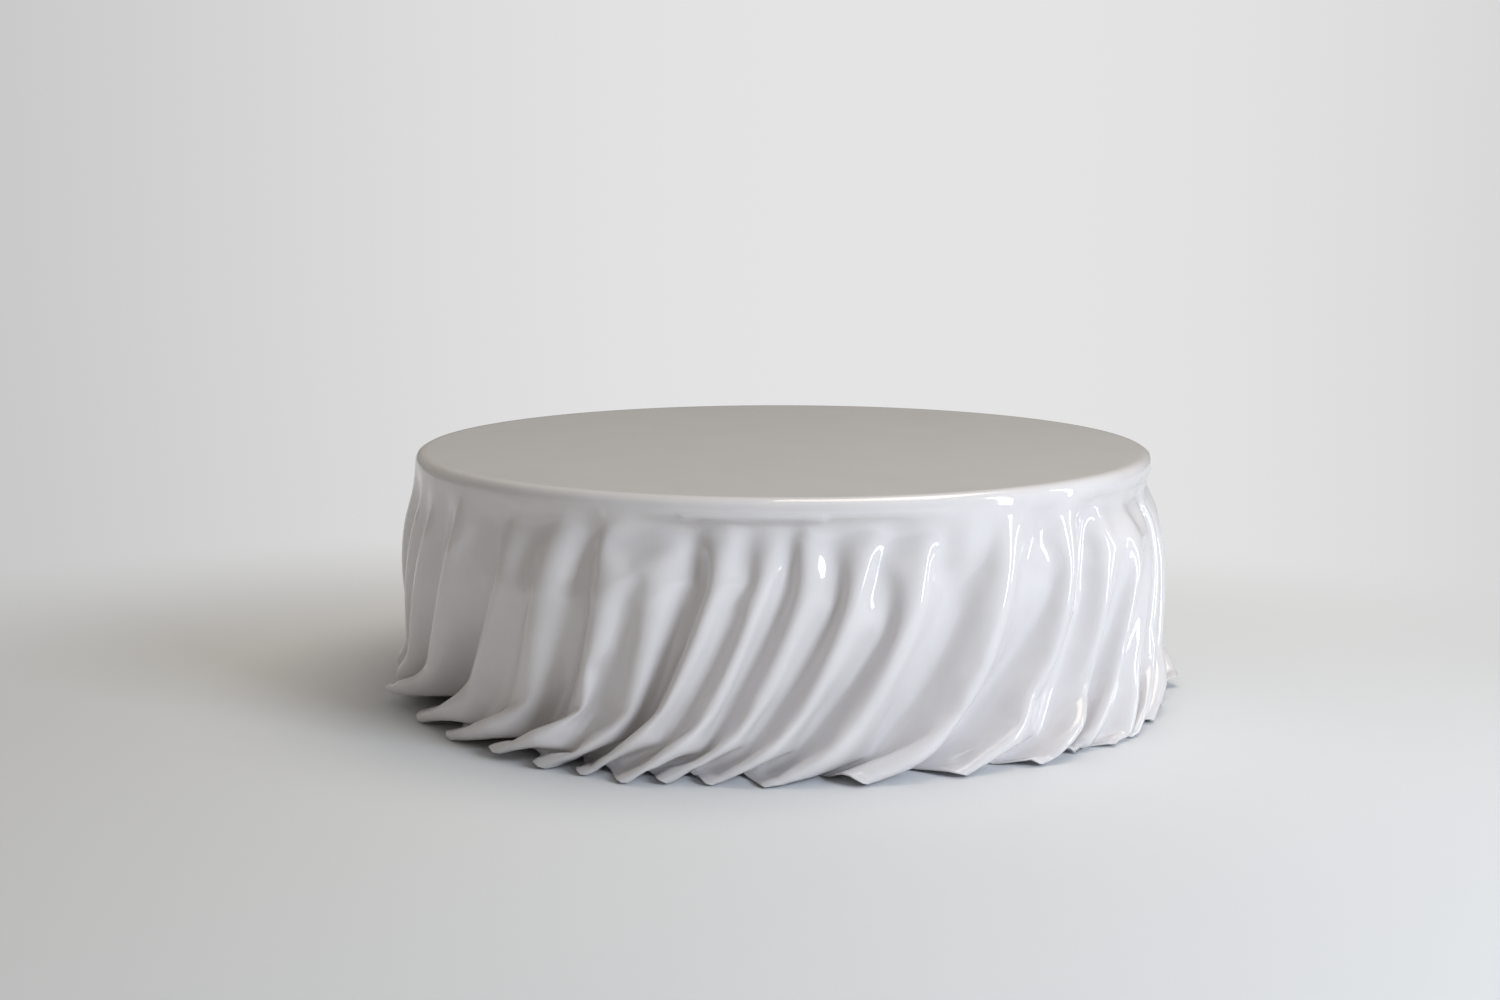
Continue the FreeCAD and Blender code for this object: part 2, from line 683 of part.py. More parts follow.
def main():
    fill_sheet()
    nodes = [make_top_panel(), make_top_lipping()]
    for corner, angle in CORNERS.items():
        nodes.append(make_leg(corner, angle))
        nodes.append(make_corner_block(corner, angle))
        nodes.extend(make_foot(corner, angle))
    nodes.extend(make_apron(side, angle) for side, angle in SIDES.items())
    nodes += [
        make_centre_rail(),
        make_rail_screws(),
        make_hanger_bolts(),
        make_hanger_washers(),
        make_hanger_nuts(),
        make_block_screws(),
        make_top_clips(),
        make_clip_screws(),
        make_foot_inserts(),
        make_tablecloth(),
        make_hem_thread(),
    ]
    check(nodes)
    os.makedirs("parts", exist_ok=True)
    for node in nodes:
        node.Shape.exportStep(os.path.join("parts", node.Label + ".step"))
        print(f"{node.Label:28s} {len(node.Shape.Solids)} solid(s), {node.Shape.Volume / 1000:10.2f} cm3")


main()
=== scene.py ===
import math
import time

import bpy
import numpy as np
from mathutils import Euler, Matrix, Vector


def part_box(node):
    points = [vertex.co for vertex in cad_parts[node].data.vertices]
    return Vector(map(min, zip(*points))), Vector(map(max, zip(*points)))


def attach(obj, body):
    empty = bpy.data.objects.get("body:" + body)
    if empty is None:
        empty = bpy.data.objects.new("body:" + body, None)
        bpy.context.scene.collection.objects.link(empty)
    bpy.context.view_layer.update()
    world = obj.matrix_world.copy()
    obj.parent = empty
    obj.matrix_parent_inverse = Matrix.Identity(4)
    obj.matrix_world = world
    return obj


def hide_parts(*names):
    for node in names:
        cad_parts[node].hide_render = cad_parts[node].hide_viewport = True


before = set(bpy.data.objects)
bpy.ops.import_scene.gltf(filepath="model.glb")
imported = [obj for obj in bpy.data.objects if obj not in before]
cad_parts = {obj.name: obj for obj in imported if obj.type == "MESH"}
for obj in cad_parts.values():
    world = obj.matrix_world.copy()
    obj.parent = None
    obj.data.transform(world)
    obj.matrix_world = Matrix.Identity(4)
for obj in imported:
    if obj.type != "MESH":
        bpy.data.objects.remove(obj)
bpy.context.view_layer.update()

startTime = time.time()

cloth = {
    "tableRadius": 0.600,       # to the outside of the cloth, metres
    "topHeight": 0.3992,        # middle of the cloth on the table top
    "rimRound": 0.014,
    "cutRadius": 1.080,         # of the round the cloth was cut to
    "offCentre": 0.016,         # how far the cloth lies off the table's centre
    "offCentreTo": 225.0,       # and which way, degrees about +Z; 270 is the front
    "simColumns": 480,
    "simRings": 58,
    "easedIn": 0.018,           # cloth taken up by its weave as it turns down over the rim
    "meshColumns": 640,
    "thickness": 0.0013,
    "hemWidth": 0.012,
    "seed": 4,
}

# Each front fold: where its ridge leaves the rim, where it reaches the floor (degrees about +Z),
# and how far its foot is kicked out along the floor, in mm.
frontFolds = [
    (217.0, 200.0, 22), (230.0, 214.0, 16), (237.5, 225.5, 26), (247.5, 234.5, 18),
    (254.0, 243.5, 8), (262.5, 250.5, 6), (268.5, 257.5, 10), (275.0, 263.5, 4),
    (281.5, 270.0, 8), (290.0, 277.5, 4), (302.0, 288.0, 10), (314.5, 300.0, 6),
    (322.0, 310.5, 30), (329.0, 318.5, 8), (335.5, 326.0, 6), (342.0, 332.5, 8),
]
backFolds = {"count": 24, "spread": 0.30, "drift": 0.15, "kick": (2, 18)}

# The shape the folds are laid in before the cloth settles, in metres
laying = {
    "fall": 0.386,              # from the rim down to the floor
    "evenLean": 0.35,           # share of a ridge's lean that comes evenly with the fall,
    "lateLean": 0.65,           # and that comes nearer the floor
    "flare": 0.028,             # ridges stand out this far from the rim's radius,
    "flareFall": 0.10,          # most of it within this much fall
    "flareBend": 1.7,
    "valley": 0.022,            # how far in a fold's middle lies from its ridges,
    "valleyFall": 0.12,         # reached at this fall
    "foldsOpen": 0.032,         # the folds open fully over this much fall
    "footOut": 0.008,           # ridges run out along the floor by this, and by their kick
    "split": 0.15,              # share of the folds that start as two
    "heldTo": 0.608,            # the simulation holds the cloth inside this radius
}

simulation = {
    "frames": 38,
    "quality": 4,
    "vertexMass": 0.0006,
    "tension": 40.0,
    "compression": 8.0,
    "shear": 10.0,
    "bending": 1.0,
    "airDrag": 1.0,
    "clothFriction": 20.0,
    "floorFriction": 10.0,
    "tableFriction": 20.0,
    "selfGap": 0.002,
    "floorStart": -0.045,       # the floor comes up under the hem
    "floorArrives": 22,
}

softening = {"rounds": 14, "rest": 0.15}


def smoothStep(x):
    x = np.clip(x, 0.0, 1.0)
    return x * x * (3.0 - 2.0 * x)


# Ridge angles at the rim and at the floor, in radians, and the kicks, all the way round
def foldPlan(rng):
    top = [f[0] for f in frontFolds]
    foot = [f[1] for f in frontFolds]
    kick = [f[2] for f in frontFolds]
    count = backFolds["count"]
    shareTop = rng.uniform(1 - backFolds["spread"], 1 + backFolds["spread"], count + 1)
    shareTop /= shareTop.sum()
    shareFoot = shareTop * rng.uniform(1 - backFolds["drift"], 1 + backFolds["drift"], count + 1)
    shareFoot /= shareFoot.sum()
    gapTop = top[0] + 360 - top[-1]
    gapFoot = foot[0] + 360 - foot[-1]
    top += list(top[-1] + gapTop * np.cumsum(shareTop)[:-1])
    foot += list(foot[-1] + gapFoot * np.cumsum(shareFoot)[:-1])
    kick += list(rng.uniform(*backFolds["kick"], count))
    return np.radians(top), np.radians(foot), np.array(kick) / 1000


# Distance of every point from the table's axis, measured along the flat cloth
def ringsOfCloth(columnAngles, rings):
    inner = [0.0, 0.12, 0.26, 0.38, 0.47, 0.53, 0.565, 0.580]
    rho = np.concatenate([inner, np.linspace(0.588, cloth["cutRadius"], rings)])
    reach = cloth["cutRadius"] + cloth["offCentre"] * np.cos(
        columnAngles - math.radians(cloth["offCentreTo"]))
    grow = (reach - 0.58) / (cloth["cutRadius"] - 0.58)
    return rho, np.where(rho[:, None] > 0.58, 0.58 + (rho[:, None] - 0.58) * grow, rho[:, None])


# How much shorter each ring of the cloth is drawn in by its weave, as a radius
def drawnIn(reach):
    return cloth["easedIn"] * smoothStep((reach - 0.604) / 0.040)


# Steepest angle of each wave that takes up the spare cloth between its two ridges
def waveSlope(wave, count, target, fold):
    low, high = np.zeros(len(count)), np.full(len(count), 2.2)
    for _ in range(26):
        middle = (low + high) / 2
        share = np.bincount(fold, weights=np.cos(middle[fold] * wave), minlength=len(count)) / count
        tooFlat = share >= target
        low, high = np.where(tooFlat, middle, low), np.where(tooFlat, high, middle)
    return middle


# The cloth as cut, flat, and as laid over the table by hand with its folds started
def laidCloth():
    rng = np.random.default_rng(cloth["seed"])
    top, foot, kick = foldPlan(rng)
    folds = len(top)
    columns = cloth["simColumns"]
    angle = top[0] + 2 * np.pi * np.arange(columns) / columns
    nextTop = np.append(top[1:], top[0] + 2 * np.pi)
    fold = np.clip(np.searchsorted(top, angle, side="right") - 1, 0, folds - 1)
    after = (fold + 1) % folds
    along = (angle - top[fold]) / (nextTop - top)[fold]   # 0 on a ridge, 1 on the next
    count = np.bincount(fold, minlength=folds)
    rho, reach = ringsOfCloth(angle, cloth["simRings"])
    onset = rng.uniform(0.004, 0.016, folds)
    skew = rng.uniform(-0.35, 0.35, folds)
    wobble = rng.uniform(-0.25, 0.25, folds)
    wobblePhase = rng.uniform(0, 2 * np.pi, folds)
    splits = rng.random(folds) < laying["split"]
    step = 2 * np.pi / columns
    round_, height, radius = cloth["rimRound"], cloth["topHeight"], cloth["tableRadius"]
    flatRadius, arc = radius - round_, round_ * math.pi / 2
    laid = np.zeros((len(rho), columns, 3))
    for i in range(len(rho)):
        r = reach[i]
        past = r - flatRadius
        if rho[i] <= flatRadius:
            laid[i] = np.stack([r * np.cos(angle), r * np.sin(angle), np.full(columns, height)], 1)
            continue
        if past.mean() < arc:
            turn = past / round_
            out = flatRadius + round_ * np.sin(turn)
            down = height - round_ * (1 - np.cos(turn))
            laid[i] = np.stack([out * np.cos(angle), out * np.sin(angle), down], 1)
            continue
        fall = max((past - arc).mean(), 0.0)
        depth = fall / laying["fall"]
        sweep = laying["evenLean"] * depth + laying["lateLean"] * depth * depth
        ridge = top + (foot - top) * sweep
        nextRidge = np.append(ridge[1:], ridge[0] + 2 * np.pi)
        flared = 1 - math.exp(-(fall / laying["flareFall"]) ** laying["flareBend"])
        ridgeRadius = radius + 0.0006 + laying["flare"] * flared
        chordRadius = ridgeRadius - laying["valley"] * min(1.0, fall / laying["valleyFall"])
        single = -np.sin(2 * np.pi * along + skew[fold] * np.sin(2 * np.pi * along))
        ripple = wobble[fold] * np.sin(4 * np.pi * along + wobblePhase[fold])
        wave = single + ripple * smoothStep((depth - 0.1) / 0.5) * np.sin(np.pi * along)
        near = 0.9 * (1 - smoothStep((depth - 0.08) / 0.35))
        double = wave * (1 - near) - near * np.sin(4 * np.pi * along)
        wave = np.where(splits[fold], double, wave)
        eased = r - drawnIn(r)
        meanReach = np.bincount(fold, weights=eased, minlength=folds) / count
        spare = chordRadius * (nextRidge - ridge) / (meanReach * (nextTop - top))
        steep = waveSlope(wave, count, np.clip(spare, 0.3, 0.999), fold)
        slope = (steep * smoothStep((fall - onset) / laying["foldsOpen"]))[fold] * wave
        rise = np.sin(slope)
        rise -= (np.bincount(fold, weights=rise, minlength=folds) / count)[fold]
        run = np.cos(slope)
        total = np.bincount(fold, weights=run, minlength=folds)
        start = np.concatenate([[0], np.cumsum(total)[:-1]])
        share = (np.cumsum(run) - run / 2 - start[fold]) / total[fold]
        theta = ridge[fold] + share * (nextRidge - ridge)[fold]
        dy = rise * eased * step
        startY = np.concatenate([[0], np.cumsum(np.bincount(fold, weights=dy, minlength=folds))[:-1]])
        y = np.cumsum(dy) - dy / 2 - startY[fold]
        nearRidge = 0.5 + 0.5 * np.cos(2 * np.pi * np.minimum(along, 1 - along))
        kicked = np.where(along <= 0.5, kick[fold], kick[after]) * nearRidge
        out = ridgeRadius + y + (laying["footOut"] + kicked) * smoothStep((depth - 0.80) / 0.25)
        laid[i, :, 0], laid[i, :, 1] = out * np.cos(theta), out * np.sin(theta)
        stepDown = reach[i] - reach[i - 1]
        sideways = ((laid[i, :, :2] - laid[i - 1, :, :2]) ** 2).sum(1)
        fallen = np.sqrt(np.maximum(stepDown ** 2 - sideways, (0.35 * stepDown) ** 2))
        laid[i, :, 2] = laid[i - 1, :, 2] - fallen
    fine = np.linspace(0, 1.12, 4001)
    drop = np.sqrt(np.maximum(np.diff(fine) ** 2 - np.diff(fine - drawnIn(fine)) ** 2, 0))
    level = height - np.interp(reach, fine, np.concatenate([[0], np.cumsum(drop)]))
    ringRadius = reach - drawnIn(reach)
    flat = np.stack([ringRadius * np.cos(angle), ringRadius * np.sin(angle), level], 2)
    return rho, angle, flat, laid


# Rings of points as one list, the middle ring as a single point
def gridVertices(grid):
    return np.concatenate([[grid[0].mean(0)], grid[1:].reshape(-1, 3)])


def gridFaces(rings, columns):
    near = np.arange(columns)
    far = (near + 1) % columns
    fan = [(0, int(1 + a), int(1 + b)) for a, b in zip(near, far)]
    quads = []
    for i in range(1, rings - 1):
        inside, outside = 1 + (i - 1) * columns, 1 + i * columns
        quads.append(np.stack([inside + near, outside + near, outside + far, inside + far], 1))
    return fan + [tuple(q) for q in np.concatenate(quads).tolist()]


def newObject(name, mesh):
    made = bpy.data.objects.new(name, mesh)
    bpy.context.scene.collection.objects.link(made)
    return made


def meshFrom(name, vertices, faces):
    mesh = bpy.data.meshes.new(name)
    mesh.from_pydata([tuple(v) for v in vertices], [], faces)
    mesh.update()
    return mesh


# A plain copy of the table top for the cloth to hang from, removed afterwards
def tableCollider():
    low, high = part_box("top_lipping")
    nose, sides = 0.0115, 256
    profile = [(high.x - 0.003, low.z), (high.x, low.z + 0.003)]
    for i in range(7):
        turn = i / 6 * math.pi / 2
        profile.append((high.x - nose + nose * math.cos(turn), high.z - nose + nose * math.sin(turn)))
    turns = [2 * math.pi * j / sides for j in range(sides)]
    vertices = [(r * math.cos(a), r * math.sin(a), z) for r, z in profile for a in turns]
    faces = []
    for i in range(len(profile) - 1):
        for j in range(sides):
            k = (j + 1) % sides
            faces.append((i * sides + j, i * sides + k, (i + 1) * sides + k, (i + 1) * sides + j))
    last = (len(profile) - 1) * sides
    faces += [tuple(range(last, last + sides)), tuple(reversed(range(sides)))]
    return newObject("tableCollider", meshFrom("tableCollider", vertices, faces))


def floorCollider():
    size, cells = 1.5, 12
    ticks = [-size + 2 * size * i / cells for i in range(cells + 1)]
    vertices = [(x, y, 0.0) for x in ticks for y in ticks]
    faces = []
    for i in range(cells):
        for j in range(cells):
            a, b = i * (cells + 1) + j, (i + 1) * (cells + 1) + j
            faces.append((a, b, b + 1, a + 1))
    made = newObject("floorCollider", meshFrom("floorCollider", vertices, faces))
    made.location.z = simulation["floorStart"]
    made.keyframe_insert("location", frame=1)
    made.location.z = 0.0
    made.keyframe_insert("location", frame=simulation["floorArrives"])
    return made


def addCollision(obj, friction):
    obj.modifiers.new("Collision", "COLLISION")
    obj.collision.thickness_outer = 0.001
    obj.collision.thickness_inner = 0.02
    obj.collision.cloth_friction = friction
    obj.collision.damping = 1.0


# Lets the laid cloth fall into place over the table and onto the floor
def drapedCloth():
    rho, angle, flat, laid = laidCloth()
    rings, columns = laid.shape[:2]
    mesh = meshFrom("clothSim", gridVertices(laid), gridFaces(rings, columns))
    sim = newObject("clothSim", mesh)
    sim.shape_key_add(name="laid")
    cut = sim.shape_key_add(name="cut")
    cut.data.foreach_set("co", gridVertices(flat).astype(np.float32).ravel())
    held = sim.vertex_groups.new(name="held")
    heldRings = int((rho[1:] < laying["heldTo"]).sum())
    held.add(list(range(1 + heldRings * columns)), 1.0, "REPLACE")
    modifier = sim.modifiers.new("Cloth", "CLOTH")
    settings, contact = modifier.settings, modifier.collision_settings
    settings.quality = simulation["quality"]
    settings.mass = simulation["vertexMass"]
    settings.air_damping = simulation["airDrag"]
    settings.tension_stiffness = simulation["tension"]
    settings.compression_stiffness = simulation["compression"]
    settings.shear_stiffness = simulation["shear"]
    settings.bending_stiffness = simulation["bending"]
    settings.tension_damping = settings.compression_damping = settings.shear_damping = 0.5
    settings.bending_damping = 0.1
    settings.vertex_group_mass = "held"
    settings.pin_stiffness = 1.0
    settings.rest_shape_key = cut
    contact.collision_quality = 3
    contact.distance_min = 0.0015
    contact.friction = simulation["clothFriction"]
    contact.use_self_collision = True
    contact.self_distance_min = simulation["selfGap"]
    contact.self_friction = 5.0
    table, floor = tableCollider(), floorCollider()
    addCollision(table, simulation["tableFriction"])
    addCollision(floor, simulation["floorFriction"])
    scene = bpy.context.scene
    scene.frame_start, scene.frame_end = 1, simulation["frames"]
    modifier.point_cache.frame_start, modifier.point_cache.frame_end = 1, simulation["frames"]
    for frameNumber in range(1, simulation["frames"] + 1):
        scene.frame_set(frameNumber)
    settled = sim.evaluated_get(bpy.context.evaluated_depsgraph_get()).data
    points = np.empty(len(settled.vertices) * 3, np.float32)
    settled.vertices.foreach_get("co", points)
    points = points.reshape(-1, 3).astype(float)
    grid = np.empty_like(laid)
    grid[0] = points[0]
    grid[1:] = points[1:].reshape(rings - 1, columns, 3)
    for helper in (sim, table, floor):
        bpy.data.objects.remove(helper)
    scene.frame_set(1)
    print(f"cloth settled in {time.time() - startTime:.0f} s")
    return rho, angle, grid


# The folds die away softly towards the rim, and small lumps go from the rest
def softened(rho, grid):
    low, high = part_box("top_lipping")
    start = smoothStep((rho - 0.604) / 0.012)
    nearRim = 1 - smoothStep((rho - 0.635) / 0.075)
    share = start * (softening["rest"] + (1 - softening["rest"]) * nearRim)
    share = (share * (1 - 0.8 * smoothStep((rho - 1.0) / 0.05)))[1:-1, None, None]
    clear = high.x + 0.0022
    for _ in range(softening["rounds"]):
        around = np.roll(grid, 1, 1) + np.roll(grid, -1, 1)
        middle = (around[1:-1] + grid[:-2] + grid[2:]) / 4
        grid[1:-1] += share * 0.5 * (middle - grid[1:-1])
    radius = np.maximum(np.hypot(grid[..., 0], grid[..., 1]), 1e-6)
    beside = (grid[..., 2] > low.z - 0.004) & (rho > 0.606)[:, None] & (radius < clear)
    grid[..., :2] *= np.where(beside, clear / radius, 1.0)[..., None]
    return grid


# Catmull-Rom through the first axis of values, at fractional positions
def splineAt(values, where, wrap):
    count = len(values)
    base = np.floor(where).astype(int)
    t = (where - base).reshape(-1, *([1] * (values.ndim - 1)))
    pick = (lambda k: values[k % count]) if wrap else (lambda k: values[np.clip(k, 0, count - 1)])
    a, b, c, d = pick(base - 1), pick(base), pick(base + 1), pick(base + 2)
    return 0.5 * (2 * b + (c - a) * t + (2 * a - 5 * b + 4 * c - d) * t * t
                  + (3 * b - a - 3 * c + d) * t ** 3)


# More columns and a few close rings at the hem, on the same surface
def finerCloth(rho, grid):
    columns = cloth["meshColumns"]
    finer = splineAt(np.swapaxes(grid, 0, 1), np.arange(columns) * grid.shape[1] / columns, True)
    finer = np.swapaxes(finer, 0, 1)
    edge, fold = cloth["cutRadius"], cloth["cutRadius"] - cloth["hemWidth"]
    inner = rho[rho < 0.585]
    body = np.linspace(0.588, fold - 0.006, 60)
    hem = [fold - 0.0012, fold + 0.0004, fold + 0.004, fold + 0.008, edge - 0.0008, edge]
    wanted = np.concatenate([inner, body, hem])
    ringAt = np.interp(wanted, rho, np.arange(len(rho)))
    return wanted, splineAt(finer, ringAt, False)


# Outward unit normals of a closed ring grid
def gridNormals(grid):
    around = np.roll(grid, -1, 1) - np.roll(grid, 1, 1)
    outward = np.empty_like(grid)
    outward[1:-1] = grid[2:] - grid[:-2]
    outward[0], outward[-1] = grid[1] - grid[0], grid[-1] - grid[-2]
    normal = np.cross(outward, around)
    normal[0] = (0, 0, 1)
    return normal / np.maximum(np.linalg.norm(normal, axis=2, keepdims=True), 1e-9)


def buildCloth():
    rho, angle, grid = drapedCloth()
    wanted, finer = finerCloth(rho, softened(rho, grid))
    fold = cloth["cutRadius"] - cloth["hemWidth"]
    normals = gridNormals(finer)
    proud = 0.0004 * smoothStep((wanted - (fold - 0.0008)) / 0.001)   # the hem is folded double
    surface = finer + normals * proud[:, None, None]
    rings, columns = surface.shape[:2]
    mesh = meshFrom("tablecloth_drape", gridVertices(surface), gridFaces(rings, columns))
    mesh.polygons.foreach_set("use_smooth", [True] * len(mesh.polygons))
    made = newObject("tablecloth_drape", mesh)
    layer = mesh.uv_layers.new(name="cutPattern")     # the flat cloth, in metres
    turns = angle[0] + 2 * np.pi * np.arange(columns) / columns
    pattern = np.concatenate([[(0.0, 0.0)], np.stack(
        [wanted[1:, None] * np.cos(turns), wanted[1:, None] * np.sin(turns)], 2).reshape(-1, 2)])
    corners = np.empty(len(mesh.loops), np.int64)
    mesh.loops.foreach_get("vertex_index", corners)
    layer.data.foreach_set("uv", pattern[corners].astype(np.float32).ravel())
    hem = made.vertex_groups.new(name="thickness")
    hemStart = 1 + int((wanted[1:] < fold).sum()) * columns
    hem.add(list(range(hemStart, len(mesh.vertices))), 1.0, "REPLACE")
    wall = made.modifiers.new("Cloth wall", "SOLIDIFY")
    wall.thickness = cloth["thickness"] * 2
    wall.offset = -1.0
    wall.vertex_group = "thickness"
    wall.thickness_vertex_group = 0.5                  # one layer, two at the hem
    made.data.materials.append(satinMaterial())
    return made, wanted, surface, gridNormals(surface)


stitches = {
    "fromEdge": 0.0095,         # metres in from the hem's edge
    "pitch": 0.0042,
    "length": 0.0030,
    "radius": 0.00032,
    "lift": 0.00012,            # above the cloth
}


# Geometry Nodes: one small rounded stitch at each step along a line of points
def stitchTree():
    tree = bpy.data.node_groups.new("Hem stitches", "GeometryNodeTree")
    face = tree.interface
    face.new_socket("Geometry", in_out="INPUT", socket_type="NodeSocketGeometry")
    for name in ("Pitch", "Length", "Radius"):
        face.new_socket(name, in_out="INPUT", socket_type="NodeSocketFloat")
    face.new_socket("Thread", in_out="INPUT", socket_type="NodeSocketMaterial")
    face.new_socket("Geometry", in_out="OUTPUT", socket_type="NodeSocketGeometry")
    node = lambda kind: tree.nodes.new(kind)
    given, result = node("NodeGroupInput"), node("NodeGroupOutput")
    curve, resample = node("GeometryNodeMeshToCurve"), node("GeometryNodeResampleCurve")
    resample.mode = "LENGTH"
    ball = node("GeometryNodeMeshUVSphere")
    ball.inputs["Segments"].default_value = 6
    ball.inputs["Rings"].default_value = 4
    ball.inputs["Radius"].default_value = 1.0
    half, size = node("ShaderNodeMath"), node("ShaderNodeCombineXYZ")
    half.operation = "DIVIDE"
    half.inputs[1].default_value = 2.0
    tangent, align = node("GeometryNodeInputTangent"), node("FunctionNodeAlignRotationToVector")
    align.axis = "Z"
    place, realize = node("GeometryNodeInstanceOnPoints"), node("GeometryNodeRealizeInstances")
    paint = node("GeometryNodeSetMaterial")
    link = tree.links.new
    link(given.outputs["Geometry"], curve.inputs[0])
    link(curve.outputs[0], resample.inputs["Curve"])
    link(given.outputs["Pitch"], resample.inputs["Length"])
    link(given.outputs["Length"], half.inputs[0])
    link(given.outputs["Radius"], size.inputs["X"])
    link(given.outputs["Radius"], size.inputs["Y"])
    link(half.outputs[0], size.inputs["Z"])
    link(tangent.outputs[0], align.inputs["Vector"])
    link(resample.outputs[0], place.inputs["Points"])
    link(ball.outputs["Mesh"], place.inputs["Instance"])
    link(align.outputs[0], place.inputs["Rotation"])
    link(size.outputs[0], place.inputs["Scale"])
    link(place.outputs[0], realize.inputs[0])
    link(realize.outputs[0], paint.inputs["Geometry"])
    link(given.outputs["Thread"], paint.inputs["Material"])
    link(paint.outputs[0], result.inputs[0])
    return tree


def setInput(modifier, name, value):
    for item in modifier.node_group.interface.items_tree:
        if item.item_type == "SOCKET" and item.in_out == "INPUT" and item.name == name:
            modifier[item.identifier] = value


# The evaluated object as a plain mesh, in place of the original
def bakedCopy(obj, name):
    evaluated = obj.evaluated_get(bpy.context.evaluated_depsgraph_get())
    mesh = bpy.data.meshes.new_from_object(evaluated)
    mesh.name = name
    bpy.data.objects.remove(obj)
    return newObject(name, mesh)


def buildStitches(wanted, surface, normals):
    ringAt = np.interp(cloth["cutRadius"] - stitches["fromEdge"], wanted, np.arange(len(wanted)))
    line = splineAt(surface + normals * stitches["lift"], np.array([ringAt]), False)[0]
    count = len(line)
    mesh = bpy.data.meshes.new("stitchLine")
    mesh.from_pydata([tuple(p) for p in line], [(i, (i + 1) % count) for i in range(count)], [])
    guide = newObject("stitchLine", mesh)
    modifier = guide.modifiers.new("Stitches", "NODES")
    modifier.node_group = stitchTree()
    for name, value in (("Pitch", stitches["pitch"]), ("Length", stitches["length"]),
                        ("Radius", stitches["radius"]), ("Thread", threadMaterial())):
        setInput(modifier, name, value)
    made = bakedCopy(guide, "hem_stitches")
    made.data.polygons.foreach_set("use_smooth", [True] * len(made.data.polygons))
    return made


def newMaterial(name):
    material = bpy.data.materials.new(name)
    material.use_nodes = True
    shader = material.node_tree.nodes["Principled BSDF"]
    return material, material.node_tree, shader


def addNode(tree, kind, **inputs):
    made = tree.nodes.new(kind)
    for name, value in inputs.items():
        made.inputs[name].default_value = value
    return made


satin = {
    "light": (0.748, 0.723, 0.728, 1.0),
    "dark": (0.722, 0.697, 0.702, 1.0),
    "roughness": (0.38, 0.46),
    "baseSpecular": 0.25,
    "gloss": 0.9,
    "glossRoughness": 0.045,
    "glossIndex": 1.75,
    "sheen": 0.05,
}


# Smooth satin with a glazed finish; a fine weave shows only from close by
def satinMaterial():
    material, tree, shader = newMaterial("glazed satin")
    shader.inputs["Specular IOR Level"].default_value = satin["baseSpecular"]
    shader.inputs["Coat Weight"].default_value = satin["gloss"]
    shader.inputs["Coat Roughness"].default_value = satin["glossRoughness"]
    shader.inputs["Coat IOR"].default_value = satin["glossIndex"]
    shader.inputs["Sheen Weight"].default_value = satin["sheen"]
    pattern = addNode(tree, "ShaderNodeUVMap")
    pattern.uv_map = "cutPattern"
    weave = addNode(tree, "ShaderNodeTexWave", Scale=900.0, Distortion=0.6)
    weave.bands_direction = "DIAGONAL"
    bump = addNode(tree, "ShaderNodeBump", Strength=0.05, Distance=0.00005)
    cloud = addNode(tree, "ShaderNodeTexNoise", Scale=9.0, Detail=4.0, Roughness=0.55)
    tint = addNode(tree, "ShaderNodeValToRGB")
    tint.color_ramp.elements[0].position, tint.color_ramp.elements[0].color = 0.35, satin["dark"]
    tint.color_ramp.elements[1].position, tint.color_ramp.elements[1].color = 0.65, satin["light"]
    rough = addNode(tree, "ShaderNodeMapRange")
    rough.inputs["To Min"].default_value, rough.inputs["To Max"].default_value = satin["roughness"]
    link = tree.links.new
    link(pattern.outputs[0], weave.inputs["Vector"])
    link(pattern.outputs[0], cloud.inputs["Vector"])
    link(cloud.outputs["Fac"], tint.inputs["Fac"])
    link(tint.outputs["Color"], shader.inputs["Base Color"])
    link(cloud.outputs["Fac"], rough.inputs["Value"])
    link(rough.outputs[0], shader.inputs["Roughness"])
    link(weave.outputs["Fac"], bump.inputs["Height"])
    link(bump.outputs[0], shader.inputs["Normal"])
    return material


thread = {
    # dark is painted shade for the grooves between the thread's turns, light is the tone on the turns
    "dark": (0.64, 0.63, 0.635, 1.0),
    "light": (0.78, 0.77, 0.775, 1.0),
    "roughness": (0.42, 0.58),
    "sheen": 0.2,
}


# Two-ply thread: fine slanting turns, with painted shade making it a little darker in the grooves
# between them
def threadMaterial():
    material, tree, shader = newMaterial("polyester thread")
    shader.inputs["Sheen Weight"].default_value = thread["sheen"]
    place = addNode(tree, "ShaderNodeTexCoord")
    twist = addNode(tree, "ShaderNodeTexWave", Scale=1500.0, Distortion=1.2, Detail=1.0)
    twist.bands_direction = "DIAGONAL"
    # the twist's grooves get the darker tone as painted shade, matching the bump below
    tint = addNode(tree, "ShaderNodeValToRGB")
    tint.color_ramp.elements[0].color = thread["dark"]
    tint.color_ramp.elements[1].color = thread["light"]
    rough = addNode(tree, "ShaderNodeMapRange")
    rough.inputs["To Min"].default_value, rough.inputs["To Max"].default_value = thread["roughness"]
    bump = addNode(tree, "ShaderNodeBump", Strength=0.3, Distance=0.00005)
    link = tree.links.new
    link(place.outputs["Object"], twist.inputs["Vector"])
    link(twist.outputs["Fac"], tint.inputs["Fac"])
    link(tint.outputs["Color"], shader.inputs["Base Color"])
    link(twist.outputs["Fac"], rough.inputs["Value"])
    link(rough.outputs[0], shader.inputs["Roughness"])
    link(twist.outputs["Fac"], bump.inputs["Height"])
    link(bump.outputs[0], shader.inputs["Normal"])
    return material


wood = {
    "beech": {"light": (0.62, 0.42, 0.25, 1), "dark": (0.42, 0.25, 0.13, 1), "roughness": 0.45},
    "birch": {"light": (0.74, 0.58, 0.38, 1), "dark": (0.58, 0.42, 0.25, 1), "roughness": 0.55},
}


